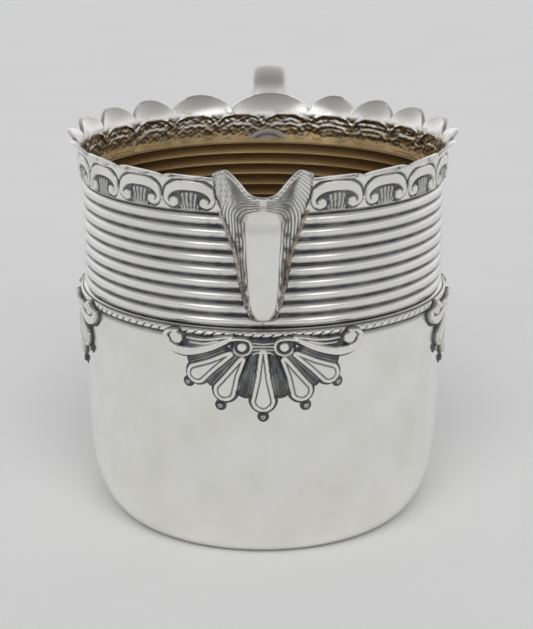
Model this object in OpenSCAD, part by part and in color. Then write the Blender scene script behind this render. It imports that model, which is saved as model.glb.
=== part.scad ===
// Silver cream jug: a straight-sided jug with a plain rounded bowl, a reeded
// upper wall, a scroll frieze with a scalloped rim, an applied beak spout, a
// loop handle and four shell mounts. The origin is the middle of the flat
// base, +Z is up, the spout points to -Y and the handle to +Y. Millimetres.

/* [Bowl] */
// Outer radius of the bowl at its top edge
bowl_top_r = 38.3; // [36:0.1:42]
// Outer radius of the bowl where its rounded corner starts
bowl_low_r = 37.9; // [36:0.1:42]
// Height of the bowl, from the base to the rope moulding
bowl_h = 47.8; // [44:0.1:50]
// Radius of the flat base
base_r = 30; // [26:0.5:32]
// Height of the rounded corner between the base and the side
corner_h = 20.4; // [14:0.2:26]
// Thickness of the silver sheet
sheet_t = 0.8; // [0.6:0.1:1.2]

/* [Rope moulding] */
// Height of the rope moulding
rope_h = 1.9; // [1.6:0.1:2.2]
// How far the rope stands out from the bowl
rope_proud = 0.6; // [0.3:0.1:0.8]

/* [Reeded wall] */
// Number of round reeds
reed_count = 9; // [8:1:10]
// Height of one reed
reed_pitch = 2.475; // [2.3:0.025:2.6]
// Radius at the crests of the reeds
crest_r = 38; // [37.6:0.1:38.2]
// Depth of the grooves between the reeds
groove_d = 0.8; // [0.4:0.1:1]

/* [Frieze and rim] */
// Number of scroll motifs round the jug, each with one scallop above it
motif_count = 22; // [20:2:24]
// Height of the frieze band
frieze_h = 6.2; // [5:0.1:7]
// Radius of the frieze at its top
frieze_r = 38.5; // [38.2:0.1:39]
// Radius at the tips of the scallops
rim_r = 40.8; // [39.5:0.1:42]
// Height of the notches between the scallops above the base
notch_z = 79.5; // [79:0.1:80]
// How far a scallop rises above its notches at the sides and the back
scallop_rise = 3.4; // [2:0.1:4]
// How much less the scallops beside the spout rise
front_dip = 2.6; // [1.5:0.1:2.8]
// How much lower the notches lie at the front
notch_dip = 0.9; // [0:0.1:1.2]
// Largest angle by which the scallops beside the spout crowd towards it
front_pull = 3.8; // [2.5:0.1:5]
// Angle from the spout at which that crowding ends
pull_reach = 130; // [110:1:140]
// Angle of the wide thumb scallop on its left side
thumb_left_a = 11; // [8:0.5:16]
// Angle of the wide thumb scallop on its right side
thumb_right_a = 16.4; // [12:0.1:17]

/* [Spout] */
// Height of the spout's lower tip above the base
spout_tip_z = 51.2; // [50.8:0.1:54]
// Height of the seam's top end above the base
spout_top_z = 79.3; // [78.5:0.1:80]
// Half width of the spout's lower part, carried on to the top
spout_low_w = 5.75; // [4:0.05:6.5]
// How much more the seam widens to each side at the top
spout_flare_w = 3.7; // [3:0.1:5]
// Largest half distance at which the spout's nose has fallen to half its height
nose_w = 4.4; // [3.5:0.1:5]
// How far the lower part stands out from the wall
spout_low_p = 5.2; // [4:0.1:6]
// How much farther the lip reaches out
spout_lip_p = 10; // [6:0.1:12]
// Height of the pouring notch above the base
lip_z = 77.3; // [77:0.1:78]
// Half distance between the two peaks of the lip
peak_x = 7.1; // [6:0.1:7.5]
// Height of the peaks above the pouring notch
peak_rise = 2.9; // [2.5:0.1:3.5]

/* [Handle] */
// Width of the strap at its ends
strap_w = 8.2; // [6:0.1:9]
// How much narrower the strap is in the middle
strap_taper = 0.2; // [0:0.1:1.5]
// Thickness of the strap
strap_t = 3.4; // [2.6:0.1:4]
// How far the handle stands round from the jug's middle plane, in degrees
handle_turn = 1.8; // [0:0.1:4]

/* [Shell mounts] */
// How far a shell stands out from the bowl
shell_proud = 1.2; // [0.8:0.1:1.6]

/* [Hidden] */

$fn = 96;
far = 100;
wall_bottom_z = bowl_h + rope_h;
wall_top_z = wall_bottom_z + reed_count * reed_pitch;
frieze_top_z = wall_top_z + frieze_h;
neck_r = crest_r - groove_d;
bowl_foot_step = 15;
reed_steps = 6;
motif_a = 360 / motif_count;
lobe_steps = 8;
back_a = 180;
rim_t = 0.8;
spout_rows = 24;
spout_cols = 28;
handle_sides = 16;
handle_rings = 5;
pad_t = 1.4;
upper_pad_z = 69;
lower_pad_z = 26;
upper_pad_r = 6;
lower_pad_r = 4.8;
round_fn = 360;

// Centre line of the handle in the YZ plane, from the upper to the lower pad
handle_route = [
    [38.6, 69], [41.6, 74], [42.8, 80], [44.8, 84.3], [50.5, 86.2], [57.8, 83.8],
    [63, 77.6], [65, 69.2], [63.6, 60], [59.8, 50.5], [54, 41.8], [47.6, 34],
    [42.8, 28.6], [38.2, 26]
];

// 0 below a, 1 above b, and smooth between them
function smooth(a, b, v) =
    let (t = min(1, max(0, (v - a) / (b - a))))
    t * t * (3 - 2 * t);

// ---- Body ----

// Outer profile of the bowl from the flat base up to its top edge
function bowl_curve(inset) = [
    for (a = [0 : bowl_foot_step : 90])
        [base_r + (bowl_low_r - inset - base_r) * sin(a),
         inset + (corner_h - inset) * (1 - cos(a))]
];

module bowl() {
    color("silver")
    rotate_extrude()
    polygon(concat(
        [[0, 0]],
        bowl_curve(0),
        [[bowl_top_r, bowl_h], [bowl_top_r - sheet_t, bowl_h]],
        [for (i = [90 / bowl_foot_step : -1 : 0]) bowl_curve(sheet_t)[i]],
        [[0, sheet_t]]
    ));
}

module rope_moulding() {
    color("lightgray")
    rotate_extrude()
    union() {
        translate([neck_r - sheet_t, bowl_h])
            square([bowl_top_r - neck_r + sheet_t, rope_h]);
        translate([bowl_top_r + rope_proud - rope_h / 2, bowl_h + rope_h / 2])
            circle(d = rope_h, $fn = 32);
    }
}

// Radius of the reeded wall's outside, v reeds above its bottom edge
function reed_r(v) = crest_r - groove_d + groove_d * pow(abs(sin(180 * v)), 0.7);

function reed_edge(inset) = [
    for (i = [0 : reed_count * reed_steps])
        [reed_r(i / reed_steps) - inset, wall_bottom_z + i / reed_steps * reed_pitch]
];

module reeded_wall() {
    inner = reed_edge(sheet_t);
    color("gainsboro")
    difference() {
        rotate_extrude()
        polygon(concat(reed_edge(0), [for (i = [len(inner) - 1 : -1 : 0]) inner[i]]));
        spout_opening();
    }
}

// ---- Frieze and scalloped rim ----

// Angle of a notch once the scallops beside the spout are drawn towards it
function pulled(a) = a - front_pull * max(0, 1 - a / pull_reach);

// Angles of the notches from the spout's right side round to its left side;
// the notch behind the handle is left out, which makes the wide thumb scallop
notches = concat(
    [for (k = [1 : motif_count / 2 - 2]) pulled(k * motif_a)],
    [back_a - thumb_right_a, back_a + thumb_left_a],
    [for (k = [motif_count / 2 - 2 : -1 : 1]) 360 - pulled(k * motif_a)]
);

// Round of stations [angle, place within its scallop from 0 to 1]
stations = concat(
    [for (k = [0 : len(notches) - 2], i = [0 : lobe_steps - 1])
        [notches[k] + (notches[k + 1] - notches[k]) * i / lobe_steps, i / lobe_steps]],
    [[notches[len(notches) - 1], 1]]
);

function scallop(u) = pow(max(0, sin(180 * u)), 0.6);

// 1 at the spout, 0 behind the handle
function frontness(a) = (1 + cos(a)) / 2;

// Height of the rim's edge over the frieze's top at angle a
function edge_h(a, u) =
    notch_z - notch_dip * frontness(a) - frieze_top_z
    + (scallop_rise - front_dip * pow(frontness(a), 2)) * scallop(u);

// Edge height and outside radius of the rim, h from 0 at the frieze's top to 1
function rim_z(a, u, h) = frieze_top_z + h * edge_h(a, u);
function rim_out(u, h) =
    frieze_r + (rim_r - frieze_r) * pow(h, 1.5) * (0.2 + 0.8 * pow(max(0, sin(180 * u)), 1.2));

// Closed profile of the border at one station: up the outside, down the inside
function border_profile(a, u) = concat(
    [[neck_r, wall_top_z], [crest_r + 0.2, wall_top_z + 1]],
    [for (h = [0, 0.4, 0.75, 1]) [rim_out(u, h), rim_z(a, u, h)]],
    [for (h = [1, 0.75, 0.4, 0]) [rim_out(u, h) - rim_t, rim_z(a, u, h)]],
    [[crest_r - 0.8, wall_top_z + 1], [neck_r - sheet_t, wall_top_z]]
);

// A point of the border; the stations next to the spout stop on its seam
function border_point(s, p) =
    let (seam_a = asin(seam_w(p[1]) / p[0]),
         first = stations[0][0],
         last = stations[len(stations) - 1][0],
         a = s[0] == first ? seam_a : s[0] == last ? 360 - seam_a
             : min(359.5 - seam_a, max(seam_a + 0.5, s[0])))
    [p[0] * sin(a), -p[0] * cos(a), p[1]];

module frieze_rim() {
    rings = [for (s = stations) [for (p = border_profile(s[0], s[1])) border_point(s, p)]];
    color("whitesmoke")
    swept(rings);
}

// Joins rings of points into one closed solid. The first half of a ring is one
// side of the sheet and the second half comes back along the other side, so
// the two ends are closed with strips across the thickness.
module swept(rings) {
    n = len(rings[0]);
    m = len(rings);
    points = [for (r = rings, p = r) p];
    sides = [for (i = [0 : m - 2], j = [0 : n - 1])
        let (k = (j + 1) % n)
        each [[i * n + j, (i + 1) * n + j, (i + 1) * n + k],
              [i * n + j, (i + 1) * n + k, i * n + k]]];
    ends = [for (j = [0 : n / 2 - 2])
        let (a = n - 1 - j,
             e = (m - 1) * n)
        each [[j, j + 1, a], [j + 1, a - 1, a],
              [e + j, e + a, e + j + 1], [e + j + 1, e + a, e + a - 1]]];
    polyhedron(points, concat(sides, ends), convexity = 8);
}

// ---- Spout ----

// Place on the spout's height, 0 at the lower tip and 1 at the top of the seam
function spout_v(z) = min(1.1, max(0, (z - spout_tip_z) / (spout_top_z - spout_tip_z)));

// Half width of the seam where the spout meets the wall
function seam_w(z) =
    let (v = spout_v(z))
    spout_low_w * pow(v, 0.26) + spout_flare_w * smooth(0.34, 1, v);

// How far the middle of the spout stands out from the wall
function spout_p(v) = spout_low_p * pow(v, 0.35) + spout_lip_p * pow(v, 4.5);

// Shape across the spout: a flat nose with steep sides low down and hollow
// sides above, 1 in the middle and 0 at the seam
function nose(x, c, n) = 1 / (1 + pow(abs(x) / c, n));
function spout_bell(x, w, v) =
    let (c = min(0.86 * w, nose_w) * (0.74 + 0.26 * smooth(0, 0.1, v)),
         n = 10 - 5.6 * smooth(0.35, 0.8, v),
         edge = nose(w, c, n))
    max(0, nose(x, c, n) - edge) / (1 - edge);

function spout_y(x, z) =
    let (v = spout_v(z),
         w = max(0.01, seam_w(z)))
    -sqrt(pow(crest_r, 2) - x * x) - spout_p(v) * spout_bell(x, w, v);

// Top edge of the spout across its width: a pouring notch between two peaks
function lip_edge(x) =
    let (peak = lip_z + peak_rise,
         a = abs(x))
    a < peak_x ? lip_z + peak_rise * pow(a / peak_x, 1.7)
               : peak - (peak - spout_top_z) * pow((a - peak_x) / (spout_low_w + spout_flare_w - peak_x), 1.5);

// Thickness of the sheet along Y, larger where the side of the spout is steep
function spout_t(x, z) =
    let (d = 0.2,
         sx = (spout_y(abs(x) + d, z) - spout_y(abs(x), z)) / d,
         sz = (spout_y(x, z + d) - spout_y(x, z)) / d)
    sheet_t * min(2.2, sqrt(1 + sx * sx + sz * sz));

// Grid point: i goes across the spout and j from its tip up to the lip
function spout_xz(i, j) =
    let (h = pow(j / spout_rows, 1.3),
         side = 2 * i / spout_cols - 1,
         tip = spout_tip_z + 0.4,
         z0 = tip + (spout_top_z - tip) * h,
         x = side * seam_w(z0),
         z = tip + (lip_edge(x) - tip) * h)
    [side * seam_w(z), z];

function spout_out(i, j) =
    let (q = spout_xz(i, j))
    [q[0], spout_y(q[0], q[1]), q[1]];

function spout_in(i, j) =
    let (q = spout_xz(i, j),
         wall = -sqrt(pow(crest_r - sheet_t, 2) - q[0] * q[0]))
    [q[0], min(wall, spout_y(q[0], q[1]) + spout_t(q[0], q[1])), q[1]];

// One ring of the shell: across the outside and back across the inside
function spout_ring(j) = concat(
    [for (i = [0 : spout_cols]) spout_out(i, j)],
    [for (i = [spout_cols : -1 : 0]) spout_in(i, j)]
);

module spout() {
    color("silver")
    swept([for (j = [0 : spout_rows]) spout_ring(j)]);
}

// The opening that the spout covers, cut straight through the front of the wall
module spout_opening() {
    rows = 16;
    zs = [for (j = [0 : rows]) spout_tip_z + 0.4 + (far - spout_tip_z) * pow(j / rows, 1.6)];
    rotate([90, 0, 0])
    linear_extrude(far)
    polygon(concat(
        [for (z = zs) [seam_w(z), z]],
        [for (j = [rows : -1 : 0]) [-seam_w(zs[j]), zs[j]]]
    ));
}

// ---- Handle ----

// Catmull-Rom point and direction on span k of the route, u from 0 to 1
function route(k) = handle_route[min(len(handle_route) - 1, max(0, k))];
function curve_at(k, u) = 0.5 * (
    2 * route(k) + (route(k + 1) - route(k - 1)) * u
    + (2 * route(k - 1) - 5 * route(k) + 4 * route(k + 1) - route(k + 2)) * u * u
    + (3 * route(k) - route(k - 1) - 3 * route(k + 1) + route(k + 2)) * u * u * u);
function curve_dir(k, u) =
    let (d = curve_at(k, min(1, u + 0.01)) - curve_at(k, max(0, u - 0.01)))
    d / norm(d);

// Ring of the strap: a rounded oblong across the centre line
function strap_ring(k, u) =
    let (c = curve_at(k, u),
         d = curve_dir(k, u),
         side = [-d[1], d[0]],
         width = strap_w - strap_taper * sin(180 * (k + u) / (len(handle_route) - 1)))
    [for (i = [0 : handle_sides - 1])
        let (a = 360 * (i + 0.5) / handle_sides,
             x = width / 2 * sign(cos(a)) * pow(abs(cos(a)), 0.7),
             t = strap_t / 2 * sign(sin(a)) * pow(abs(sin(a)), 0.9))
        [x, c[0] + side[0] * t, c[1] + side[1] * t]];

module handle() {
    spans = len(handle_route) - 1;
    rings = [for (n = [0 : spans * handle_rings])
        let (k = min(spans - 1, floor(n / handle_rings)))
        strap_ring(k, n / handle_rings - k)];
    color("darkgray")
    rotate([0, 0, -handle_turn])
    difference() {
        swept(rings);
        cylinder(r = crest_r + pad_t, h = far, $fn = round_fn);
    }
}

// Round pad that joins an end of the handle to the wall, cut to the wall's shape
module pad(r, z, wall_low_r, wall_top_r) {
    color("gray")
    rotate([0, 0, -handle_turn])
    difference() {
        translate([0, 0, z])
        rotate([-90, 0, 0])
            cylinder(r = r, h = crest_r + pad_t);
        translate([0, 0, corner_h])
            cylinder(r1 = wall_low_r, r2 = wall_top_r, h = bowl_h - corner_h, $fn = round_fn);
        translate([0, 0, bowl_h])
            cylinder(r = wall_top_r, h = far, $fn = round_fn);
    }
}

module handle_upper_pad() {
    pad(upper_pad_r, upper_pad_z, crest_r, crest_r);
}

module handle_lower_pad() {
    pad(lower_pad_r, lower_pad_z, bowl_low_r, bowl_top_r);
}

// ---- Shell mounts ----

// Petals of the shell: [angle from straight down, distance of the tip, half width]
petals = [[-62, 15.9, 2.3], [-34.5, 14, 2.4], [0, 13.6, 2.4], [34.5, 14, 2.4], [62, 15.9, 2.3]];
fan_z = 46.6;
volute_x = 16.9;
volute_z = 48.2;
volute_r = 2.1;
bead_r = 0.75;
outline_fn = 12;

// Points along an arc round c from angle a to angle b
function arc(c, r, a, b) = [
    for (i = [0 : outline_fn])
        let (t = a + (b - a) * i / outline_fn)
        c + r * [cos(t), sin(t)]
];

// Point at distance d from the middle of the fan, at angle a from straight down
function fan_point(a, d) = d * [sin(a), -cos(a)];

// Outline of the shell seen from in front, the middle of its fan at the origin:
// left volute, the rounded petal tips, right volute, and back along the top
module shell_outline() {
    vz = volute_z - fan_z;
    polygon(concat(
        arc([-volute_x, vz], volute_r, 60, 270),
        [for (p = petals) each arc(fan_point(p[0], p[1] - p[2]), p[2], p[0] - 165, p[0] - 15)],
        arc([volute_x, vz], volute_r, -90, 120),
        [[4, 0.6], [-4, 0.6]]
    ));
}

module shell_beads() {
    for (p = petals)
        translate(fan_point(p[0], p[1] + bead_r + 0.1))
            circle(r = bead_r, $fn = 24);
}

// Ring of metal that the shells are cut from; it steps out over the rope
module shell_band() {
    low_z = 28;
    high_z = 51;
    low_r = bowl_low_r + (bowl_top_r - bowl_low_r) * (low_z - corner_h) / (bowl_h - corner_h);
    out_r = bowl_top_r + shell_proud;
    rope_out_r = bowl_top_r + rope_proud;
    rotate_extrude()
    polygon([[low_r, low_z], [out_r, low_z], [out_r, high_z], [rope_out_r, high_z],
             [rope_out_r, bowl_h], [bowl_top_r, bowl_h]]);
}

module shell(a) {
    color("silver")
    rotate([0, 0, a])
    intersection() {
        shell_band();
        translate([0, 0, fan_z])
        rotate([90, 0, 0])
        linear_extrude(far)
        union() {
            shell_outline();
            shell_beads();
        }
    }
}

module shell_front() { shell(0); }
module shell_left() { shell(-90); }
module shell_back() { shell(180); }
module shell_right() { shell(90); }

bowl();
rope_moulding();
reeded_wall();
frieze_rim();
spout();
handle();
handle_upper_pad();
handle_lower_pad();
shell_front();
shell_left();
shell_back();
shell_right();
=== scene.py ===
"""Looks of the silver cream jug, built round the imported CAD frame.

Lengths in the shape code are millimetres in the CAD frame: +Z up, spout towards -Y.
An angle a runs from the front (-Y) towards +X, so a point is (r sin a, -r cos a, z).
"""

import bpy
import math
import numpy as np
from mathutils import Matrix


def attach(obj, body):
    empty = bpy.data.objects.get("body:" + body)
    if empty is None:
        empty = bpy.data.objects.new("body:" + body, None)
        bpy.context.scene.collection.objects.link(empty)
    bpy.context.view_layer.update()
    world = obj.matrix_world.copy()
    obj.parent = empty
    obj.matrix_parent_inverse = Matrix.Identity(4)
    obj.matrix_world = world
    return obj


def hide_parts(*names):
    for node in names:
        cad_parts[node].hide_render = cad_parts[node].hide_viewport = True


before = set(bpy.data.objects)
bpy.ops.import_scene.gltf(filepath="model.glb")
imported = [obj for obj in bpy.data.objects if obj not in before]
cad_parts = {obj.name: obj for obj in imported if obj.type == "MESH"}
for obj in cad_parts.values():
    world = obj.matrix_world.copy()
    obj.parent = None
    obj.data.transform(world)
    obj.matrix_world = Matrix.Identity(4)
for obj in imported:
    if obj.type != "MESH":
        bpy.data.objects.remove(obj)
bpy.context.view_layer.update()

MM = 0.001
SHEET = 0.8

# ---- Driving sizes, as in the CAD ----

BASE_R = 30.0
BOWL_LOW_R = 37.9
BOWL_TOP_R = 38.3
CORNER_H = 20.4
BOWL_H = 47.8
ROPE_H = 1.9
ROPE_PROUD = 0.6
REEDS = 9
REED_PITCH = 2.475
CREST_R = 38.0
GROOVE_D = 0.8
MOTIFS = 22
MOTIF_A = 360 / MOTIFS
FRIEZE_H = 6.2
FRIEZE_R = 38.5
RIM_R = 40.8
NOTCH_Z = 79.5
RISE = 3.4
FRONT_DIP = 2.6
NOTCH_DIP = 0.9
FRONT_PULL = 3.8
PULL_REACH = 130.0
THUMB_LEFT_A = 11.0
THUMB_RIGHT_A = 16.4
WALL_Z = BOWL_H + ROPE_H
WALL_TOP_Z = WALL_Z + REEDS * REED_PITCH
FRIEZE_TOP_Z = WALL_TOP_Z + FRIEZE_H
SPOUT_TIP_Z = 51.2
SPOUT_TOP_Z = 79.3


# ---- Small maths helpers on arrays ----

def step(a, b, v):
    """0 below a, 1 above b, smooth between."""
    t = np.clip((v - a) / (b - a), 0, 1)
    return t * t * (3 - 2 * t)


def rad(a):
    return np.radians(a)


def polar(r, a, z):
    """Points from radius, angle in degrees and height, broadcast together."""
    r, a, z = np.broadcast_arrays(r, a, z)
    return np.stack([r * np.sin(rad(a)), -r * np.cos(rad(a)), z], -1)


def unit(v):
    return v / np.maximum(np.linalg.norm(v, axis=-1, keepdims=True), 1e-9)


def catmull(points, per_span):
    """Points along a Catmull-Rom curve through rows of numbers."""
    p = np.array(points, float)
    p = np.vstack([2 * p[0] - p[1], p, 2 * p[-1] - p[-2]])
    out = []
    for k in range(1, len(p) - 2):
        a, b, c, d = p[k - 1:k + 3]
        for u in np.arange(per_span) / per_span:
            out.append(0.5 * (2 * b + (c - a) * u + (2 * a - 5 * b + 4 * c - d) * u * u
                              + (3 * b - a - 3 * c + d) * u ** 3))
    return np.array(out + [p[-2]])


def stroke(x, z, line):
    """Signed distance to a polyline of rows (x, z, radius), negative inside."""
    best = np.full(x.shape, 1e3)
    for (ax, az, ar), (bx, bz, br) in zip(line[:-1], line[1:]):
        dx, dz = bx - ax, bz - az
        t = np.clip(((x - ax) * dx + (z - az) * dz) / (dx * dx + dz * dz + 1e-9), 0, 1)
        d = np.hypot(x - ax - t * dx, z - az - t * dz) - (ar + t * (br - ar))
        best = np.minimum(best, d)
    return best


def oval(x, z, a, b, n):
    """Roughly the signed distance to the superellipse of half sizes a and b."""
    u, v = np.abs(x) / a, np.abs(z) / b
    s = u ** n + v ** n + 1e-9
    slope = np.hypot(u ** (n - 1) / a, v ** (n - 1) / b) * s ** (1 / n - 1)
    return (s ** (1 / n) - 1) / np.maximum(slope, 1e-3)


def line_mask(d, half, soft=0.14):
    """1 on a line of that half width, 0 beside it."""
    return np.clip((half - np.abs(d)) / soft + 0.5, 0, 1)


def inside(d, soft=0.14):
    return np.clip(0.5 - d / soft, 0, 1)


def lumps(*coords):
    """Smooth seedless noise in about -1..1 from a few sine waves."""
    x, y, z = (np.asarray(c, float) for c in coords)
    return (np.sin(x * 1.7 + 1.3 * np.sin(y * 1.1 + z)) + np.sin(y * 2.3 + 1.7 * np.sin(z * 1.3 + x))
            + np.sin(z * 1.9 + 1.1 * np.sin(x * 1.5 + y))) / 3


# ---- Mesh building ----

def add_piece(name, slot, material, points, faces, replaces=(), sharp=None, **attributes):
    """Makes a mesh piece from points in millimetres and a list of face arrays."""
    mesh = bpy.data.meshes.new(name)
    points = np.asarray(points, float).reshape(-1, 3)
    mesh.vertices.add(len(points))
    mesh.vertices.foreach_set("co", (points * MM).astype(np.float32).ravel())
    loops = np.concatenate([np.asarray(f).ravel() for f in faces])
    sizes = np.concatenate([np.full(len(f), np.shape(f)[1]) for f in faces])
    mesh.loops.add(len(loops))
    mesh.loops.foreach_set("vertex_index", loops.astype(np.int32))
    mesh.polygons.add(len(sizes))
    starts = np.concatenate([[0], np.cumsum(sizes)[:-1]])
    mesh.polygons.foreach_set("loop_start", starts.astype(np.int32))
    mesh.update(calc_edges=True)
    mesh.validate()
    for key, values in attributes.items():
        layer = mesh.attributes.new(key, "FLOAT", "POINT")
        layer.data.foreach_set("value", np.asarray(values, np.float32).ravel())
    mesh.shade_smooth()
    if sharp is not None:
        mesh.set_sharp_from_angle(angle=math.radians(sharp))
    obj = bpy.data.objects.new(name, mesh)
    bpy.context.scene.collection.objects.link(obj)
    mesh.materials.append(material)
    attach(obj, "root")
    if replaces:
        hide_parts(*replaces)
    return obj


def grid_faces(rows, cols, wrap_rows=False, wrap_cols=False):
    """Quads of a grid of points stored row by row, facing left of the rows' direction."""
    i = np.arange(rows if wrap_rows else rows - 1)
    j = np.arange(cols if wrap_cols else cols - 1)
    i, j = np.meshgrid(i, j, indexing="ij")
    i2, j2 = (i + 1) % rows, (j + 1) % cols
    quads = np.stack([i * cols + j, i * cols + j2, i2 * cols + j2, i2 * cols + j], -1)
    return quads.reshape(-1, 4)


def ring_faces(rings, sides, flip=False):
    """Faces of stacked closed rings, with fans onto the two end points that follow them."""
    k = np.arange(sides)
    k2 = (k + 1) % sides
    last = (rings - 1) * sides
    low = np.stack([np.full(sides, rings * sides), k2, k], -1)
    high = np.stack([np.full(sides, rings * sides + 1), last + k, last + k2], -1)
    quads = grid_faces(rings, sides, wrap_cols=True)
    if flip:
        return [quads[:, ::-1], low[:, [0, 2, 1]], high[:, [0, 2, 1]]]
    return [quads, low, high]


def end_strips(rows, cols, col, flip):
    """Quads that close one end of a folded grid, across the thickness: row k meets its mirror."""
    k = np.arange(rows // 2 - 1)
    quads = np.stack([k, k + 1, rows - 2 - k, rows - 1 - k], -1) * cols + col
    return quads[:, ::-1] if flip else quads


def folded_sheet(name, slot, material, outer, inner, **options):
    """Closed sheet from two grids (rows, cols, 3): up the outside and back down the inside."""
    points = np.concatenate([outer, inner[::-1]])
    rows, cols = points.shape[:2]
    faces = [grid_faces(rows, cols, wrap_rows=True),
             end_strips(rows, cols, 0, False), end_strips(rows, cols, cols - 1, True)]
    return add_piece(name, slot, material, points, faces, **options)


def revolve(name, slot, material, r, z, cols, **options):
    """Full turn of a profile whose two ends lie on the axis."""
    a = np.arange(cols) * 360 / cols
    body = polar(r[1:-1, None], a, z[1:-1, None])
    rows = len(r) - 2
    points = np.vstack([body.reshape(-1, 3), [[0, 0, z[0]], [0, 0, z[-1]]]])
    for key in ("tarnish", "gilt"):
        v = options.get(key, np.zeros(len(r)))
        options[key] = np.concatenate([np.repeat(v[1:-1], cols), [v[0], v[-1]]])
    return add_piece(name, slot, material, points, ring_faces(rows, cols), **options)


def slab(name, slot, material, front, back, keep, **options):
    """Closed relief from two grids, kept only where the mask of grid cells is true."""
    rows, cols = front.shape[:2]
    count = rows * cols
    quads = grid_faces(rows, cols)[keep.ravel()]
    edges = np.concatenate([quads[:, [k, (k + 1) % 4]] for k in range(4)])
    seen = {(int(a), int(b)) for a, b in edges}
    rim = np.array([e for e in sorted(seen) if (e[1], e[0]) not in seen])
    sides = np.stack([rim[:, 1], rim[:, 0], rim[:, 0] + count, rim[:, 1] + count], -1)
    faces = np.concatenate([quads, quads[:, ::-1] + count, sides])
    used = np.unique(faces)
    new_index = np.zeros(2 * count, int)
    new_index[used] = np.arange(len(used))
    points = np.concatenate([front.reshape(-1, 3), back.reshape(-1, 3)])[used]
    for key in ("tarnish", "gilt"):
        if key in options:
            options[key] = np.tile(options[key].ravel(), 2)[used]
    return add_piece(name, slot, material, points, [new_index[faces]], **options)


def tube(name, slot, material, route, radius, sides, **options):
    """Closed tube along a route with one radius, or one per point and side, and round ends."""
    route = np.asarray(route, float)
    forward = unit(np.gradient(route, axis=0))
    side = unit(np.cross(forward, [0.0, 0.0, 1.0]))
    up = np.cross(side, forward)
    a = rad(np.arange(sides) * 360 / sides)[None, :, None]
    rings = route[:, None] + (np.cos(a) * side[:, None] + np.sin(a) * up[:, None]) * radius
    points = np.vstack([rings.reshape(-1, 3), route[0], route[-1]])
    return add_piece(name, slot, material, points, ring_faces(len(route), sides, flip=True), **options)


# ---- Materials ----

class Nodes:
    """Short calls for building one material's node tree."""

    def __init__(self, name):
        self.material = bpy.data.materials.new(name)
        self.material.use_nodes = True
        self.tree = self.material.node_tree
        self.shader = self.tree.nodes["Principled BSDF"]
        self.place = self.node("ShaderNodeTexCoord").outputs["Object"]

    def node(self, kind, inputs=(), **settings):
        made = self.tree.nodes.new(kind)
        for key, value in settings.items():
            setattr(made, key, value)
        for key, value in dict(inputs).items():
            self.put(made.inputs[key], value)
        return made

    def put(self, socket, value):
        if isinstance(value, bpy.types.NodeSocket):
            self.tree.links.new(value, socket)
        else:
            socket.default_value = value

    def attribute(self, name):
        return self.node("ShaderNodeAttribute", attribute_name=name).outputs["Fac"]

    def math(self, operation, a, b=0.0, clamp=False):
        made = self.node("ShaderNodeMath", {0: a, 1: b}, operation=operation, use_clamp=clamp)
        return made.outputs[0]

    def mix(self, factor, a, b):
        made = self.node("ShaderNodeMix", {0: factor, 6: a, 7: b}, data_type="RGBA")
        return made.outputs[2]

    def span(self, value, from_low, from_high, to_low, to_high):
        made = self.node("ShaderNodeMapRange", {0: value, 1: from_low, 2: from_high, 3: to_low, 4: to_high})
        return made.outputs[0]

    def stretched(self, scale):
        made = self.node("ShaderNodeMapping", {"Vector": self.place, "Scale": scale})
        return made.outputs[0]

    def noise(self, size_mm, detail=3.0, vector=None, rough=0.5):
        """Noise whose features are about that many millimetres across."""
        made = self.node("ShaderNodeTexNoise", {"Vector": vector or self.place, "Scale": 1000 / size_mm,
                                                "Detail": detail, "Roughness": rough})
        return made.outputs["Fac"]

    def bump(self, height, distance_mm, strength=1.0, normal=None):
        inputs = {"Height": height, "Distance": distance_mm * MM, "Strength": strength}
        if normal is not None:
            inputs["Normal"] = normal
        return self.node("ShaderNodeBump", inputs).outputs["Normal"]


SILVER = (0.93, 0.915, 0.885, 1)
WORN_SILVER = (0.87, 0.855, 0.82, 1)
# Dark oxide colours, which also paint the spout's reflection bands (painted reflection)
OXIDE_AND_REFLECTION_DARK = (0.095, 0.105, 0.12, 1)
WARM_OXIDE_AND_REFLECTION_DARK = (0.15, 0.135, 0.115, 1)
GILT = (0.57, 0.42, 0.22, 1)
DEEP_GILT = (0.44, 0.315, 0.155, 1)


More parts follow.
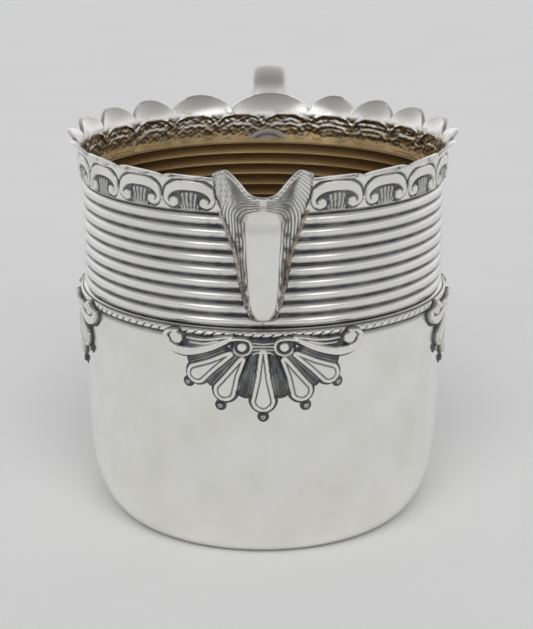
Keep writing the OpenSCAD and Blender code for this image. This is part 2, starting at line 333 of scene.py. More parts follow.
def silver_material(name, gloss, dents, pits=0.0, grime=0.0):
    """Polished old silver: oxide in the hollows, plus painted reflection stripes on the spout in the same
    dark colour, gilding, fine scratches and soft dents.
    """
    n = Nodes(name)
    tarnish = n.attribute("tarnish")
    gilt = n.attribute("gilt")
    smudge = n.noise(9, 4)
    grain = n.noise(0.5, 5, rough=0.7)
    scratch_a = n.noise(1.6, 2, n.stretched((1, 1, 18)))
    scratch_b = n.noise(1.9, 2, n.stretched((14, 3, 1)))
    wear = n.math("MULTIPLY_ADD", n.noise(3.5, 4), 0.6)
    wear.node.inputs[2].default_value = -0.3
    # Amount of oxide colour; on the spout it also carries the painted reflection bands
    oxide_and_reflection_amount = n.math("ADD", tarnish, n.math("MULTIPLY", wear, tarnish), clamp=True)
    if grime:
        specks = n.span(n.noise(1.1, 5, rough=0.7), 0.56, 0.70, 0, grime)
        oxide_and_reflection_amount = n.math("ADD", oxide_and_reflection_amount, specks, clamp=True)
    silver_colour = n.mix(n.span(smudge, 0.40, 0.66, 0, 1), SILVER, WORN_SILVER)
    gilt_colour = n.mix(n.span(smudge, 0.36, 0.64, 0, 1), GILT, DEEP_GILT)
    oxide_and_reflection_colour = n.mix(n.span(n.noise(2.4, 3), 0.45, 0.7, 0, 1), OXIDE_AND_REFLECTION_DARK, WARM_OXIDE_AND_REFLECTION_DARK)
    metal_colour = n.mix(gilt, silver_colour, gilt_colour)
    n.put(n.shader.inputs["Base Color"], n.mix(oxide_and_reflection_amount, metal_colour, oxide_and_reflection_colour))
    n.put(n.shader.inputs["Metallic"], 1.0)
    rough = n.span(smudge, 0.35, 0.7, gloss, gloss + 0.09)
    rough = n.math("ADD", rough, n.span(scratch_a, 0.55, 0.75, 0, 0.05))
    rough = n.math("ADD", rough, n.math("MULTIPLY", gilt, 0.20))
    n.put(n.shader.inputs["Roughness"], n.math("ADD", rough, n.math("MULTIPLY", oxide_and_reflection_amount, 0.26)))
    normal = n.bump(n.noise(11, 2), 1.0, dents)
    normal = n.bump(scratch_a, 0.012, 0.35, normal)
    normal = n.bump(scratch_b, 0.012, 0.25, normal)
    normal = n.bump(grain, 0.02 + pits * 0.2, 0.15 + pits, normal)
    n.put(n.shader.inputs["Normal"], normal)
    return n.material


# ---- Bowl ----

def bowl_r(z):
    """Outside radius of the bowl at height z."""
    z = np.asarray(z, float)
    corner = BASE_R + (BOWL_LOW_R - BASE_R) * np.sin(np.arccos(np.clip(1 - z / CORNER_H, -1, 1)))
    side = BOWL_LOW_R + (BOWL_TOP_R - BOWL_LOW_R) * (z - CORNER_H) / (BOWL_H - CORNER_H)
    return np.where(z < CORNER_H, corner, side)


def make_bowl(material):
    corner = rad(np.linspace(0, 90, 46))
    r_out = BASE_R + (BOWL_LOW_R - BASE_R) * np.sin(corner)
    z_out = CORNER_H * (1 - np.cos(corner))
    z_side = np.linspace(CORNER_H, BOWL_H, 50)[1:]
    flat = np.linspace(0, BASE_R, 20)[:-1]
    r_outer = np.concatenate([flat, r_out, bowl_r(z_side)])
    z_outer = np.concatenate([flat * 0, z_out, z_side])
    z_outer = z_outer + 0.35 * (1 - step(BASE_R - 6, BASE_R - 1.5, r_outer)) * (z_outer < 0.01)
    slope = unit(np.stack([np.gradient(r_outer), np.gradient(z_outer)], -1))
    r_inner = np.maximum(r_outer - slope[:, 1] * SHEET, 0)
    z_inner = z_outer + slope[:, 0] * SHEET
    z_inner[-1], r_inner[0] = BOWL_H, 0
    r = np.concatenate([r_outer, r_inner[::-1]])
    z = np.concatenate([z_outer, z_inner[::-1]])
    n = len(r_outer)
    gilt = np.concatenate([np.zeros(n), np.ones(n)])
    seam = np.concatenate([0.9 * step(BOWL_H - 0.9, BOWL_H - 0.25, z_outer), np.zeros(n)])
    under = np.concatenate([0.25 * (z_outer < 0.4), np.zeros(n)])
    revolve("bowl_shell", "plain_silver", material, r, z, 288,
            replaces=["bowl"], sharp=50, tarnish=seam + under, gilt=gilt)


# ---- Rope moulding ----

ROPE_STRANDS = 127


def make_rope(material):
    cols = ROPE_STRANDS * 9
    a = np.arange(cols)[None, :] * 360 / cols
    inner_r, back_r = CREST_R - GROOVE_D - SHEET, BOWL_TOP_R - 0.35
    bead_r, bead_z, mid_r = 0.68, BOWL_H + 0.92, BOWL_TOP_R + ROPE_PROUD - 0.62
    turn = np.linspace(-84, 84, 17)
    r = np.concatenate([[inner_r, back_r, BOWL_TOP_R - 0.06, BOWL_TOP_R - 0.02],
                        mid_r + bead_r * np.cos(rad(turn)),
                        [BOWL_TOP_R - 0.1, BOWL_TOP_R - 0.12, CREST_R - GROOVE_D, inner_r]])[:, None]
    z = np.concatenate([[BOWL_H, BOWL_H, BOWL_H + 0.03, BOWL_H + 0.12],
                        bead_z + bead_r * np.sin(rad(turn)),
                        [BOWL_H + 1.68, WALL_Z - 0.05, WALL_Z, WALL_Z]])[:, None]
    # Rows 4 to 20 of the profile are the bead; oxide lies where it meets the bowl and the reeds
    on_bead = np.zeros(len(r))
    on_bead[4:21] = np.cos(rad(turn)) ** 0.5
    on_bead = on_bead[:, None]
    rise = np.clip((z - bead_z) / bead_r, -1, 1)
    strand = np.abs(np.sin(np.pi * (a * ROPE_STRANDS / 360 - 0.34 * rise)))
    slot = step(0.46, 0.08, strand) * step(1.0, 0.1, rise) * on_bead
    points = polar(r - 0.36 * slot, a, z)
    seam = np.zeros(len(r))
    seam[[1, 2, 3, 4, 5]] = 0.9
    seam[[19, 20, 21]] = 0.85
    dark = np.maximum(step(0.50, 0.22, strand) * step(0.9, 0.0, rise) * on_bead, seam[:, None])
    gilt = np.zeros(len(r))
    gilt[[0, -1]] = 1
    add_piece("rope_ring", "ornament_silver", material, points,
              [grid_faces(len(r), cols, True, True)], replaces=["rope_moulding"],
              tarnish=np.clip(dark, 0, 1) * 0.97, gilt=gilt[:, None] + 0 * a)


# ---- Spout: shape shared by the wall, the rim and the spout itself ----

SPOUT_LOW_W = 5.75
SPOUT_FLARE_W = 3.7
NOSE_W = 4.4
SPOUT_LOW_P = 5.2
SPOUT_LIP_P = 10.0
LIP_Z = 77.3
PEAK_X = 7.1
PEAK_RISE = 2.9


def spout_v(z):
    return np.clip((z - SPOUT_TIP_Z) / (SPOUT_TOP_Z - SPOUT_TIP_Z), 0, 1.1)


def seam_w(z):
    """Half width of the seam between spout and wall at height z."""
    v = spout_v(np.asarray(z, float))
    return SPOUT_LOW_W * v ** 0.26 + SPOUT_FLARE_W * step(0.34, 1.0, v)


def spout_y(x, z):
    """Outside of the spout: a flat nose with steep sides low down and hollow sides above."""
    v = spout_v(z)
    w = np.maximum(seam_w(z), 0.01)
    c = np.minimum(0.86 * w, NOSE_W) * (0.74 + 0.26 * step(0, 0.1, v))
    n = 10 - 5.6 * step(0.35, 0.8, v)
    edge = 1 / (1 + (w / c) ** n)
    bell = (1 / (1 + (np.abs(x) / c) ** n) - edge).clip(0) / (1 - edge)
    reach = SPOUT_LOW_P * v ** 0.35 + SPOUT_LIP_P * v ** 4.5
    return -np.sqrt(CREST_R ** 2 - x * x) - reach * bell


def lip_edge(x):
    """Height of the spout's top edge: a pouring notch between two peaks."""
    a = np.abs(x)
    peak = LIP_Z + PEAK_RISE
    end = SPOUT_LOW_W + SPOUT_FLARE_W
    outer = peak - (peak - SPOUT_TOP_Z) * (np.clip(a - PEAK_X, 0, None) / (end - PEAK_X)) ** 1.5
    return np.where(a < PEAK_X, LIP_Z + PEAK_RISE * (a / PEAK_X) ** 1.7, outer)


# ---- Reeded wall ----

def seam_angle(r, z):
    return np.degrees(np.arcsin(np.clip(seam_w(z) / r, 0, 1)))


def wall_angles(cols, r, z, reach=24.0):
    """Column angles from the seam round to the seam, warped only beside the spout."""
    top = float(seam_angle(FRIEZE_R, SPOUT_TOP_Z))
    base = np.linspace(top, 360 - top, cols)[None, :]
    near = np.minimum(base - top, 360 - top - base)
    pull = np.clip(1 - near / reach, 0, 1) ** 2 * (seam_angle(r, z) - top)
    return base + np.where(base < 180, pull, -pull)


def reed_r(v):
    return CREST_R - GROOVE_D + GROOVE_D * np.abs(np.sin(np.pi * v)) ** 0.7


def make_wall(material):
    per_reed = 15
    cols = 340
    v = np.linspace(0, REEDS, REEDS * per_reed + 1)
    z = (WALL_Z + v * REED_PITCH)[:, None]
    r = reed_r(v)[:, None]
    outer = polar(r, wall_angles(cols, CREST_R, z), z)
    r_in = CREST_R - GROOVE_D - SHEET + 0.18 * (r - CREST_R + GROOVE_D)
    inner = polar(r_in, wall_angles(cols, CREST_R, z), z)
    dark = np.maximum(step(0.42, 0.04, v % 1), step(0.82, 0.98, v % 1))[:, None]
    a = wall_angles(cols, CREST_R, z)
    from_seam = (np.minimum(a, 360 - a) - seam_angle(CREST_R, z)) * rad(1) * CREST_R
    patchy = np.clip(0.35 + 0.9 * lumps(a * 1.3, z * 2.9, a * 0.5), 0, 1)
    dirt = step(7.0, 0.8, from_seam) * (0.2 + 0.8 * patchy)
    dark_out = np.clip(0.97 * dark + dirt * (0.35 + 0.6 * dark), 0, 1)
    bare = 0 * dark_out
    folded_sheet("reeded_shell", "reeded_silver", material, outer, inner, replaces=["reeded_wall"],
                 tarnish=np.concatenate([dark_out, bare]), gilt=np.concatenate([bare, bare + 1]))


# ---- Frieze and rim ----

VOLUTE_X = 3.12
VOLUTE_Z = 73.95


def notch_angles():
    """Angles of the notches: they crowd towards the spout, and one is left out at the back."""
    even = np.arange(1, MOTIFS // 2 - 1) * MOTIF_A
    side = even - FRONT_PULL * np.clip(1 - even / PULL_REACH, 0, 1)
    return np.concatenate([[0], side, [180 - THUMB_RIGHT_A, 180 + THUMB_LEFT_A], 360 - side[::-1], [360]])


def even_angle(a):
    """Angle that a had before the motifs crowded towards the spout."""
    m = np.minimum(a, 360 - a)
    m = np.minimum(np.maximum(m, (m + FRONT_PULL) / (1 + FRONT_PULL / PULL_REACH)), 180)
    return np.where(a < 180, m, 360 - m)


def lobe_place(a):
    """Place across the scallop at angle a, from 0 at one notch to 1 at the next."""
    notches = notch_angles()
    k = np.clip(np.searchsorted(notches, a, side="right") - 1, 0, len(notches) - 2)
    return (a - notches[k]) / (notches[k + 1] - notches[k])


def motif_relief(a, z):
    """Height in millimetres and oxide of the scroll frieze at angle a and height z."""
    x = ((even_angle(a) / MOTIF_A) % 1 - 0.5) * rad(MOTIF_A) * FRIEZE_R
    m = np.abs(x)
    arch = oval(m, z - 74.45, 5.42, 3.85, 2.8)
    arch_half = 0.13 + 0.15 * step(2.0, 3.8, m)
    arch_line = line_mask(arch, arch_half) * step(74.2, 75.0, z)
    hollow = oval(m, z - 74.0, 4.28, 2.30, 2.5)
    vx, vz = m - VOLUTE_X, z - VOLUTE_Z
    rho = np.hypot(vx, vz)
    alpha = np.degrees(np.arctan2(vz, vx))
    comma_r = np.interp(alpha, [-15, 30, 110], [0.62, 1.10, 1.38])
    comma_w = np.interp(alpha, [-15, 30, 110], [0.04, 0.22, 0.40])
    comma = line_mask(rho - comma_r, comma_w) * (alpha > -15) * (alpha < 125)
    turn = np.where(alpha > 90, alpha - 360, alpha)
    curl_r = np.interp(turn, [-190, -90, -45, -20, 0, 22], [1.22, 1.30, 1.46, 1.70, 1.98, 2.32])
    curl_w = np.interp(turn, [-200, -120, -60, 0, 22], [0.30, 0.26, 0.18, 0.10, 0.08])
    curl = line_mask(rho - curl_r, curl_w) * (turn > -205) * (turn < 24)
    in_hollow = inside(hollow) * (z > 73.9) + (z <= 73.9) * (m < VOLUTE_X) * (z > 72.55)
    ground = np.clip(in_hollow, 0, 1) * (rho > 0.98) * np.clip(1 - comma, 0, 1)
    ground = ground * np.where((vx > 0) & (alpha < 60), 0, 1)
    fan = (m / (0.62 + 0.10 * (z - 72.6))) % 1
    leaf_top = 75.85 - 0.10 * m ** 2
    leaf = inside(stroke(m, z, [(0, 72.9, 1.75), (0, 74.2, 1.85), (0, 74.4, 1.9)])) * (z < leaf_top)
    blade = leaf * np.clip(np.sin(np.pi * fan) * 2.6 - 1.35, 0, 1)
    tick = stroke(x, z, [(0.9, 78.75, 0.05), (2.0, 78.7, 0.12), (2.9, 79.0, 0.14), (3.3, 79.4, 0.05)])
    tick_line = inside(tick, 0.2)
    groove = np.maximum.reduce([arch_line, comma, curl, tick_line * 0.8])
    sunk = np.maximum(groove, ground * (1 - 0.75 * blade))
    border = line_mask(z - WALL_TOP_Z - 0.12, 0.26, 0.2)
    eye = inside(rho - 0.95, 0.6) * 0.12
    band = inside(np.maximum(arch, -hollow), 0.9) * 0.10 * (z > 73.9)
    height = band + eye - 0.36 * sunk - 0.30 * border
    dark = np.maximum(sunk, border)
    return height, np.clip(dark, 0, 1)


def scallop_shape(a):
    """Share of the full flare at angle a, and the height of the rim's edge over the frieze."""
    arch = np.sin(np.pi * lobe_place(a)).clip(0, 1)
    front = (1 + np.cos(rad(a))) / 2
    rise = RISE - FRONT_DIP * front ** 2
    return arch ** 1.2, NOTCH_Z - NOTCH_DIP * front - FRIEZE_TOP_Z + rise * arch ** 0.6


def rim_grid(rows_z, cols, offset, emboss):
    """Grid of the border's skin: rows below the frieze's top are heights, and above it
    shares of the way up the scallop."""
    frieze_rows = rows_z[rows_z <= 0]
    rim_rows = rows_z[rows_z > 0]
    z_low = FRIEZE_TOP_Z + frieze_rows[:, None]
    a_low = wall_angles(cols, FRIEZE_R, z_low)
    h = rim_rows[:, None]
    a_high = wall_angles(cols, FRIEZE_R, FRIEZE_TOP_Z + h)
    flare, top = scallop_shape(a_high)
    z_high = FRIEZE_TOP_Z + h * top
    r_high = FRIEZE_R + (RIM_R - FRIEZE_R) * h ** 1.5 * (0.2 + 0.8 * flare)
    base_low = CREST_R + (FRIEZE_R - CREST_R) * step(WALL_TOP_Z, WALL_TOP_Z + 2, z_low) + 0 * a_low
    a = np.vstack([a_low, a_high])
    z = np.vstack([z_low + 0 * a_low, z_high])
    r = np.vstack([base_low, r_high])
    height, dark = motif_relief(a, z)
    fade = step(FRIEZE_TOP_Z + 1.5, FRIEZE_TOP_Z + 1.2, z)
    return polar(r - offset + emboss * height * fade, a, z), dark * fade, z


def make_border(material):
    rows_z = np.concatenate([np.linspace(-FRIEZE_H, 0, 36), np.linspace(0, 1, 13)[1:] ** 0.8])
    cols = 1034
    outer, dark_out, _ = rim_grid(rows_z, cols, 0.0, 1.0)
    inner, _, z_in = rim_grid(rows_z, cols, SHEET, 0.3)
    x, y = inner[..., 0], inner[..., 1]
    rough = 0.6 * lumps(x * 0.9, z_in * 1.3, y * 0.9) + 0.5 * lumps(x * 2.3 + 3, z_in * 2.6, y * 2.2)
    zone = step(72.8, 74.0, z_in) * step(78.2, 77.5, z_in)
    dark_in = zone * np.clip(0.06 + 0.7 * rough, 0, 0.62)
    inner = inner - unit(inner * [1, 1, 0]) * (0.16 * zone * rough)[..., None]
    gilt_in = np.clip(step(78.0, 73.5, z_in) - 0.5 * zone * rough, 0, 1)
    folded_sheet("frieze_border", "ornament_silver", material, outer, inner, replaces=["frieze_rim"],
                 sharp=60, tarnish=np.concatenate([dark_out * 0.95, dark_in[::-1]]),
                 gilt=np.concatenate([0 * dark_out, gilt_in[::-1]]))


# ---- Spout ----

# Height where the flat front panel opens into the hollow sides, and half the panel's width
SHOULDER_Z = 71.5
PANEL_W = 3.3
# Distance between the painted reflection bands beside the panel: dark stripes in the oxide colour that stand
# in for the surroundings mirrored in the spout
REFLECTION_BAND_PITCH = 0.62


def make_spout(material):
    rows, cols = 170, 221
    h = (np.linspace(0, 1, rows) ** 1.25)[:, None]
    side = np.linspace(-1, 1, cols)[None, :]
    tip = SPOUT_TIP_Z + 0.4
    x0 = side * seam_w(tip + (SPOUT_TOP_Z - tip) * h)
    z = tip + (lip_edge(x0) - tip) * h + 1.3 * np.abs(side) ** 3 * (1 - h) ** 6
    x = side * seam_w(z)
    outer = np.stack([x, spout_y(x, z), z + 0 * x], -1)
    across = np.gradient(outer, axis=1)
    along = np.gradient(outer, axis=0)
    normal = unit(np.cross(across, along))
    swell = step(0.955, 1.0, h)
    thick = (SHEET + 0.15 * swell)[..., None]
    outer = outer + normal * 0.10 * swell[..., None]
    inner = outer - normal * thick
    wall = -np.sqrt((CREST_R - SHEET) ** 2 - inner[..., 0] ** 2)
    inner[..., 1] = np.minimum(inner[..., 1], wall)
    up = unit(along[-1])
    mid = (outer[-1] + inner[-1]) / 2
    half = (outer[-1] - inner[-1]) / 2
    size = np.linalg.norm(half, axis=-1, keepdims=True)
    turn = [mid + half * math.cos(t) + up * size * math.sin(t) for t in np.radians([30, 60])]
    turn_back = [mid - half * math.cos(t) + up * size * math.sin(t) for t in np.radians([30, 60])]
    outer = np.concatenate([outer, turn])
    inner = np.concatenate([inner, turn_back])
    v = spout_v(outer[..., 2])
    pits = step(0.63, 0.69, v) * step(0.76, 0.70, v) * (np.abs(outer[..., 0]) < 3.4)
    seam = step(0.86, 1.0, np.abs(side)) + 0 * outer[..., 0]
    px, pz = np.abs(outer[..., 0]), outer[..., 2]
    # Painted reflection: nested dark bands that follow the panel's edge, painted into the oxide colour,
    # stand in for the surroundings mirrored in the curving spout
    over = pz - SHOULDER_Z
    beside = np.where(over > 0, np.hypot(px, over * 1.1) - PANEL_W, px - PANEL_W - 0.05 * over)
    wobble = 0.16 * lumps(px * 1.1, pz * 0.45, outer[..., 0] * 0.3)
    painted_reflection_bands = np.clip(0.5 + 0.75 * np.sin(2 * np.pi * (beside + wobble) / REFLECTION_BAND_PITCH), 0, 1)
    strip = step(0.9, 0.3, px) * step(72.5, 74.0, pz)
    painted_reflection_bands = painted_reflection_bands * step(-0.1, 0.25, beside - 0.5 * step(SHOULDER_Z, SHOULDER_Z + 1.5, pz))
    painted_reflection_bands = painted_reflection_bands * step(0.18, 0.36, v) * (1 - 0.35 * step(3.0, 5.0, beside)) * (1 - strip)
    patch = step(4.0, 5.0, -outer[..., 0]) * step(73.5, 75.0, pz)
    worn = patch * (0.30 + 0.35 * lumps(px * 5 + pz * 2, pz * 2.5, px * 3))
    # Oxide at the pits, the seams and a worn patch, plus the painted reflection bands
    dark = 0.16 * pits + 0.45 * seam * step(0.95, 0.6, v) + 0.85 * painted_reflection_bands * (1 - patch) + worn
    dark = np.clip(dark, 0, 1)
    inner_gilt = step(79.0, 76.0, inner[..., 2])
    folded_sheet("spout_beak", "plain_silver", material, outer, inner, replaces=["spout"], sharp=60,
                 tarnish=np.concatenate([dark, 0 * dark]),
                 gilt=np.concatenate([0 * dark, inner_gilt[::-1]]))


SOLDER_R = 37.7


def make_solder(material):
    """Rough solder fillets along both seams of the spout."""
    z = SPOUT_TIP_Z + 0.3 + (SPOUT_TOP_Z - 0.6 - SPOUT_TIP_Z) * np.linspace(0, 1, 150) ** 1.4
    for name, sign in (("solder_left", -1), ("solder_right", 1)):
        x = sign * (seam_w(z) + 0.12)
        route = np.stack([x, -np.sqrt(SOLDER_R ** 2 - x * x), z], -1)
        a = np.arange(10)[None, :] * 36
        p = [route[:, k:k + 1] for k in range(3)]
        rough = 0.6 * lumps(p[0] * 1.9 + a / 40, p[1] * 1.7 + sign, p[2] * 1.3 + a / 57)
        rough = rough + 0.5 * lumps(p[0] * 4.3, p[1] * 4.1 + a / 33, p[2] * 3.9 + sign)
        radius = (0.52 + 0.36 * rough) * (0.55 + 0.45 * step(53, 60, z))[:, None]
        radius = (radius.clip(0.15) * np.clip((80.3 - z) / 2, 0.4, 1)[:, None])[..., None]
        high = step(56, 62, z)[:, None]
        stain = np.clip(0.62 - 0.25 * high + 0.45 * rough, 0, 1)
        gold = (0.15 + (0.30 + 0.20 * sign) * high) + 0 * rough
        tube(name, "plain_silver", material, route, radius, 10,
             tarnish=np.append(stain.ravel(), [0.5, 0.5]), gilt=np.append(gold.ravel(), [0, 0]))


# ---- Handle ----

HANDLE_ROUTE = [
    (38.6, 69), (41.6, 74), (42.8, 80), (44.8, 84.3), (50.5, 86.2), (57.8, 83.8),
    (63, 77.6), (65, 69.2), (63.6, 60), (59.8, 50.5), (54, 41.8), (47.6, 34),
    (42.8, 28.6), (38.2, 26)
]
STRAP_W = 8.2
STRAP_TAPER = 0.2
STRAP_T = 3.4
UPPER_PAD = (69.0, 6.0)
LOWER_PAD = (26.0, 4.8)
PAD_T = 1.4
# How far the handle stands round from the middle plane, in degrees
HANDLE_TURN = 1.8


def turned(points):
    """The handle's points, turned with it about the jug's axis."""
    c, s = math.cos(rad(HANDLE_TURN)), math.sin(rad(HANDLE_TURN))
    return points @ np.array([[c, -s, 0], [s, c, 0], [0, 0, 1]])


def make_handle(material):
    line = catmull(HANDLE_ROUTE, 16)
    n = len(line)
    sides = 48
    d = unit(np.gradient(line, axis=0))
    across = np.stack([-d[:, 1], d[:, 0]], -1)
    share = np.linspace(0, 1, n)
    flare = 0.5 * (step(0.10, 0, share) + step(0.90, 1, share))
    half_w = ((STRAP_W - STRAP_TAPER * np.sin(np.pi * share) + flare) / 2)[:, None]
    half_t = ((STRAP_T + 0.6 * flare) / 2)[:, None]
    a = rad((np.arange(sides) + 0.5) * 360 / sides)[None, :]
    x = half_w * np.sign(np.cos(a)) * np.abs(np.cos(a)) ** 0.7
    t = half_t * np.sign(np.sin(a)) * np.abs(np.sin(a)) ** 0.9
    points = np.stack([x + 0 * t, line[:, :1] + across[:, :1] * t, line[:, 1:] + across[:, 1:] * t], -1)
    points = np.concatenate([points.reshape(-1, 3), [[0, *line[0]], [0, *line[-1]]]])
    dark = np.concatenate([np.repeat(0.5 * (step(0.05, 0, share) + step(0.95, 1, share)), sides), [0, 0]])
    add_piece("handle_strap", "handle_silver", material, turned(points),
              ring_faces(n, sides, flip=True), replaces=["handle"], tarnish=dark, gilt=0 * dark)


def make_pad(name, node, place, wall_r, material):
    """Turned round pad under an end of the handle, laid on the wall."""
    pad_z, pad_r = place
    rows, cols = 26, 96
    share = np.linspace(0, 1, rows)[:, None]
    a = rad(np.arange(cols) * 360 / cols)[None, :]
    rho = pad_r * share
    dome = PAD_T * (1 - share ** 6) ** 0.5 - 0.35 * line_mask(share - 0.8, 0.035, 0.06)
    x = rho * np.cos(a)
    z = pad_z + rho * np.sin(a)
    front = np.stack([x, np.sqrt(wall_r ** 2 - x * x) + dome + 0 * a, z], -1)
    back = np.stack([x, np.sqrt((wall_r - GROOVE_D + 0.12) ** 2 - x * x), z], -1)
    points = np.concatenate([front, back[::-1]])[1:-1].reshape(-1, 3)
    n = 2 * rows - 2
    points = np.vstack([points, [front[0, 0], back[0, 0]]])
    ring = line_mask(share - 0.8, 0.05, 0.08) * 0.8 + step(0.96, 1, share) * 0.6 + 0 * a
    dark = np.concatenate([np.concatenate([ring, ring[::-1]])[1:-1].ravel(), [0, 0]])
    add_piece(name, "handle_silver", material, turned(points),
              ring_faces(n, cols), replaces=[node], tarnish=dark, gilt=0 * dark)


# ---- Shell mounts ----

# Petals and flutes of one half: rows of x, z and radius from the root to the tip
PETALS = [
    [(0, 45.0, 0.85), (0, 39.6, 1.45), (0, 35.45, 2.35)],
    [(4.0, 43.7, 0.75), (5.75, 40.6, 1.35), (7.35, 37.35, 2.25)],
    [(6.3, 44.8, 0.70), (9.7, 42.5, 1.30), (12.8, 40.5, 2.15)],
]
FLUTES = [
    [(1.9, 44.3, 0.7), (3.3, 37.9, 1.7)],
    [(5.2, 44.2, 0.7), (9.4, 39.7, 1.6)],
    [(7.8, 45.5, 0.7), (13.2, 43.2, 1.4)],
]
BEADS = [(0, 32.0), (8.35, 34.1), (14.85, 38.4)]
BEAD_R = 0.62
# Round bites that end the flutes between the petals
BITES = [(4.1, 34.5, 1.7), (10.9, 36.6, 1.9), (16.0, 42.0, 1.6)]
BALL = (16.8, 47.5, 1.3)
EYE = (4.0, 46.4, 0.92)
# Centre lines of the scroll: the arm from the outer to the inner volute, and the ribs above it
ARM = [
    (16.6, 49.0, 0.22), (18.2, 48.75, 0.40), (19.2, 47.6, 0.60), (18.9, 46.1, 0.76), (17.3, 45.05, 0.85),
    (14.9, 44.8, 0.88), (12.5, 45.2, 0.80), (9.7, 46.1, 0.68), (7.4, 47.2, 0.56), (5.7, 47.95, 0.44),
    (4.0, 48.15, 0.34), (2.75, 47.6, 0.30), (2.25, 46.4, 0.27), (2.7, 45.2, 0.26), (3.95, 44.7, 0.26),
    (5.2, 45.1, 0.24), (5.65, 46.0, 0.16)
]
UPPER_RIB = [
    (14.7, 47.7, 0.18), (12.8, 47.45, 0.30), (10.4, 47.6, 0.32), (8.0, 48.2, 0.30), (5.8, 48.55, 0.22)
]
MIDDLE_RIB = [(14.3, 46.6, 0.10), (11.6, 46.55, 0.16), (8.6, 47.35, 0.12)]


def shell_relief(x, z):
    """Height over the bowl and oxide of a shell mount; x is the arc length from its middle."""
    m = np.abs(x)
    petal = np.minimum.reduce([stroke(m, z, p) for p in PETALS])
    flute = np.minimum.reduce([stroke(m, z, f) for f in FLUTES])
    flute = np.maximum.reduce([flute] + [r - np.hypot(m - bx, z - bz) for bx, bz, r in BITES])
    arm = stroke(m, z, catmull(ARM, 5))
    rib = stroke(m, z, catmull(UPPER_RIB, 4))
    mid_rib = stroke(m, z, catmull(MIDDLE_RIB, 4))
    web = stroke(m, z, [(14.9, 46.4, 1.0), (11.5, 46.4, 0.9), (8.0, 47.4, 0.7), (5.0, 48.0, 0.8)])
    ball = np.hypot(m - BALL[0], z - BALL[1]) - BALL[2]
    eye = np.hypot(m - EYE[0], z - EYE[1]) - EYE[2]
    hub = stroke(m, z, [(0, 46.4, 1.3), (4.0, 46.4, 1.85)])
    bead = np.minimum.reduce([np.hypot(m - bx, z - bz) for bx, bz in BEADS]) - BEAD_R
    outline = np.minimum.reduce([petal, flute, arm, rib, web, ball - 0.3, hub, bead])
    collar = np.minimum.reduce([stroke(m, z, [(0, 46.45 + 0.5 * k, 0.12), (1.9, 46.45 + 0.7 * k, 0.12)])
                                for k in (-1, 0, 1)])
    arch = stroke(m, z, [(0, 45.35, 0.16), (1.0, 45.3, 0.16), (1.9, 44.9, 0.12)])

    flute_depth = np.clip(-flute / 1.7, 0, 1)
    ridge = line_mask(petal - 0.40, 0.06, 0.14) + 0.6 * line_mask(petal - 0.95, 0.05, 0.14)
    ridge = ridge * (flute < -0.25)
    height = 0.62 - 0.34 * flute_depth + 0.15 * ridge
    dark = 1.0 - 0.5 * ridge
    inset = line_mask(petal + 0.86, 0.13)
    petal_up = inside(petal, 0.24)
    petal_height = 1.0 + 0.16 * np.clip(-petal / 1.2, 0, 1) - 0.32 * inset
    height = height * (1 - petal_up) + petal_height * petal_up
    dark = dark * (1 - inside(petal, 0.16)) + inset * petal_up
    for d, top, width in ((mid_rib, 0.85, 0.2), (rib, 1.0, 0.35), (collar, 0.95, 0.5), (arch, 0.95, 0.2),
                          (arm, 1.12, 0.7), (eye, 1.25, 0.85), (ball, 1.35, 1.3)):
        up = inside(d, 0.2)
        dome = top + 0.30 * (np.sqrt(np.clip(1 - (1 + d / width) ** 2, 0, 1)) - 0.5)
        height = np.where(up > 0, height * (1 - up) + dome * up, height)
        dark = dark * (1 - inside(d, 0.14))
    bead_up = inside(bead, 0.2)
    dot = np.clip(-bead / BEAD_R, 0, 1)
    height = height * (1 - bead_up) + (0.6 + 0.3 * dot) * bead_up
    dark = np.where(bead < 0.1, 0.95 - 0.7 * line_mask(dot - 0.5, 0.16, 0.2), dark)
    edge = np.clip(0.5 - outline / 0.22, 0, 1)
    on_rope = step(47.7, 48.3, z)
    flange = inside(outline - 0.60 + 0.38 * on_rope, 0.16) * step(49.6, 49.2, z)
    height = height * edge + (1 - edge) * (0.14 * flange - (0.35 + 0.75 * on_rope) * (1 - flange))
    dark = dark * edge + (1 - edge)
    return height, np.clip(dark, 0, 1), outline


def make_shells(material):
    cell = 0.155
    x = np.arange(-21.6, 21.6 + cell, cell)
    z = np.arange(30.4, 51.4, cell)
    x, z = np.meshgrid(x, z)
    height, dark, outline = shell_relief(x, z)
    over_rope = ROPE_PROUD * 0.9 * step(BOWL_H - 0.7, BOWL_H + 0.3, z)
    surface = bowl_r(np.minimum(z, BOWL_H)) + over_rope
    near = (outline < 0.95) & (z < 49.8)
    keep = near[:-1, :-1] & near[1:, :-1] & near[:-1, 1:] & near[1:, 1:]
    a = np.degrees(x / BOWL_TOP_R)
    for name, node, turn in (("front_shell", "shell_front", 0), ("left_shell", "shell_left", -90),
                             ("back_shell", "shell_back", 180), ("right_shell", "shell_right", 90)):
        front = polar(surface + height, a + turn, z)
        back = polar(bowl_r(np.minimum(z, BOWL_H)) - 0.5, a + turn, z)
        slab(name, "ornament_silver", material, front, back, keep, replaces=[node],
             tarnish=dark, gilt=0 * dark)


# ---- Camera, stage and lights ----

PHOTO_LONG_SIDE = 629
FOCAL_PX = 1549
CAMERA_PLACE = (0.0, -0.3206, 0.1384)
CAMERA_PITCH = 16.88
CAMERA_YAW = -0.129


def make_camera():
    data = bpy.data.cameras.new("camera")
    data.sensor_width = 36
    data.lens = 36 * FOCAL_PX / PHOTO_LONG_SIDE
    data.clip_start = 0.01
    camera = bpy.data.objects.new("camera", data)
    camera.location = CAMERA_PLACE
    camera.rotation_euler = (math.radians(90 - CAMERA_PITCH), 0, math.radians(CAMERA_YAW))
    bpy.context.scene.collection.objects.link(camera)
    bpy.context.scene.camera = camera


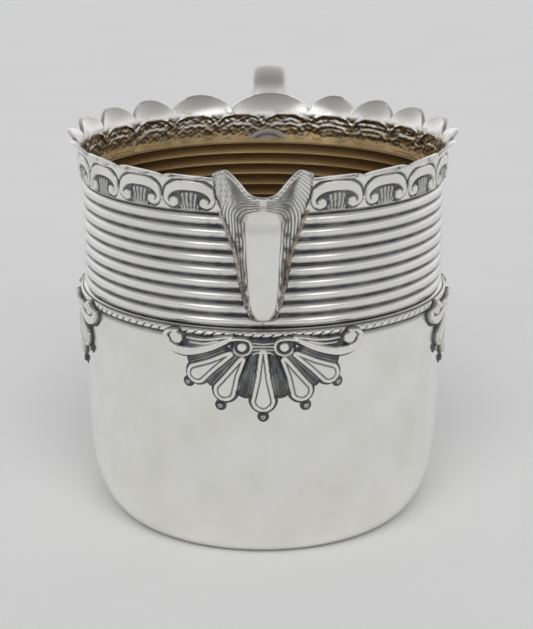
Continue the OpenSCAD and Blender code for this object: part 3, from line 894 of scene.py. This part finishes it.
def make_stage():
    """A pale paper floor that curves up into a low wall all round."""
    reach, wall = 1500, 400
    curve = np.linspace(0, 90, 12)[1:] * np.pi / 180
    r = np.concatenate([np.linspace(0, reach, 40), reach + wall * np.sin(curve)])
    z = np.concatenate([np.zeros(40), wall * (1 - np.cos(curve))])
    z = z - 0.02
    cols = 96
    points = polar(r[1:, None], np.arange(cols) * 360 / cols, z[1:, None]).reshape(-1, 3)
    points = np.vstack([points, [[0, 0, z[0]]]])
    k = np.arange(cols)
    low = np.stack([np.full(cols, len(points) - 1), (k + 1) % cols, k], -1)
    quads = grid_faces(len(r) - 1, cols, wrap_cols=True)
    mesh = bpy.data.meshes.new("floor")
    mesh.from_pydata((points * MM).tolist(), [], low.tolist() + quads.tolist())
    mesh.shade_smooth()
    floor = bpy.data.objects.new("floor", mesh)
    bpy.context.scene.collection.objects.link(floor)
    n = Nodes("paper")
    tone = n.mix(n.span(n.noise(60, 3), 0.35, 0.65, 0, 1), (0.80, 0.808, 0.80, 1), (0.785, 0.793, 0.787, 1))
    specks = n.span(n.noise(2.2, 2), 0.80, 0.84, 0, 0.35)
    n.put(n.shader.inputs["Base Color"], n.mix(specks, tone, (0.35, 0.35, 0.34, 1)))
    n.put(n.shader.inputs["Roughness"], 0.9)
    n.put(n.shader.inputs["Specular IOR Level"], 0.1)
    mesh.materials.append(n.material)


def make_world():
    """A pale tent: bright low round the sides and darker overhead, with a soft glow each side."""
    world = bpy.data.worlds.new("tent")
    bpy.context.scene.world = world
    world.use_nodes = True
    tree = world.node_tree
    coord = tree.nodes.new("ShaderNodeTexCoord")
    split = tree.nodes.new("ShaderNodeSeparateXYZ")
    tree.links.new(coord.outputs["Generated"], split.inputs[0])
    ramp = tree.nodes.new("ShaderNodeValToRGB")
    tree.links.new(split.outputs["Z"], ramp.inputs[0])
    stops = [(0.0, 0.95), (0.20, 0.88), (0.48, 0.44), (0.90, 0.22)]
    for k, (place, level) in enumerate(stops):
        stop = ramp.color_ramp.elements[k] if k < 2 else ramp.color_ramp.elements.new(place)
        stop.position = place
        stop.color = (level, level, level, 1)

    def patch(azimuth, elevation, inner, outer, level_in, level_out):
        """Level inside a soft-edged round patch of the tent; azimuth 0 is the front, 90 towards +X."""
        a, e = math.radians(azimuth), math.radians(elevation)
        toward = tree.nodes.new("ShaderNodeVectorMath")
        toward.operation = "DOT_PRODUCT"
        tree.links.new(coord.outputs["Generated"], toward.inputs[0])
        toward.inputs[1].default_value = (math.sin(a) * math.cos(e), -math.cos(a) * math.cos(e), math.sin(e))
        made = tree.nodes.new("ShaderNodeMapRange")
        made.interpolation_type = "SMOOTHSTEP"
        tree.links.new(toward.outputs["Value"], made.inputs[0])
        for key, value in enumerate((math.cos(math.radians(outer)), math.cos(math.radians(inner)),
                                     level_out, level_in)):
            made.inputs[key + 1].default_value = value
        return made.outputs[0]

    def combine(operation, a, b):
        made = tree.nodes.new("ShaderNodeMath")
        made.operation = operation
        tree.links.new(a, made.inputs[0])
        tree.links.new(b, made.inputs[1])
        return made.outputs[0]

    light = combine("MULTIPLY", ramp.outputs["Color"], patch(0, 50, 12, 36, 1.12, 1.0))
    for glow in ((-36, 24, 3, 16, 0.85), (36, 24, 3, 16, 0.75), (180, 30, 15, 45, 0.12)):
        light = combine("ADD", light, patch(*glow, 0.0))
    background = tree.nodes["Background"]
    background.inputs["Color"].default_value = (1, 1, 1, 1)
    tree.links.new(light, background.inputs["Strength"])


def make_lights():
    """The tent, and a soft light on the floor and the paper that the silver does not mirror."""
    make_world()
    data = bpy.data.lights.new("floor_fill", "SUN")
    data.energy = 1.57
    data.angle = math.radians(45)
    fill = bpy.data.objects.new("floor_fill", data)
    fill.rotation_euler = (math.radians(42), 0, 0)
    fill.visible_glossy = False
    bpy.context.scene.collection.objects.link(fill)


def main():
    bpy.context.scene.view_settings.view_transform = "Standard"
    plain = silver_material("plain_silver_polish", gloss=0.12, dents=0.06)
    reeded = silver_material("reeded_silver_polish", gloss=0.12, dents=0.03)
    ornament = silver_material("ornament_silver_polish", gloss=0.16, dents=0.02)
    strap = silver_material("handle_silver_polish", gloss=0.42, dents=0.05)
    solder = silver_material("solder_silver", gloss=0.32, dents=0.1, pits=0.5, grime=0.6)
    make_camera()
    make_stage()
    make_lights()
    make_bowl(plain)
    make_rope(ornament)
    make_wall(reeded)
    make_border(ornament)
    make_spout(plain)
    make_solder(solder)
    make_handle(strap)
    make_pad("upper_pad", "handle_upper_pad", UPPER_PAD, CREST_R, strap)
    make_pad("lower_pad", "handle_lower_pad", LOWER_PAD, BOWL_LOW_R, strap)
    make_shells(ornament)


main()
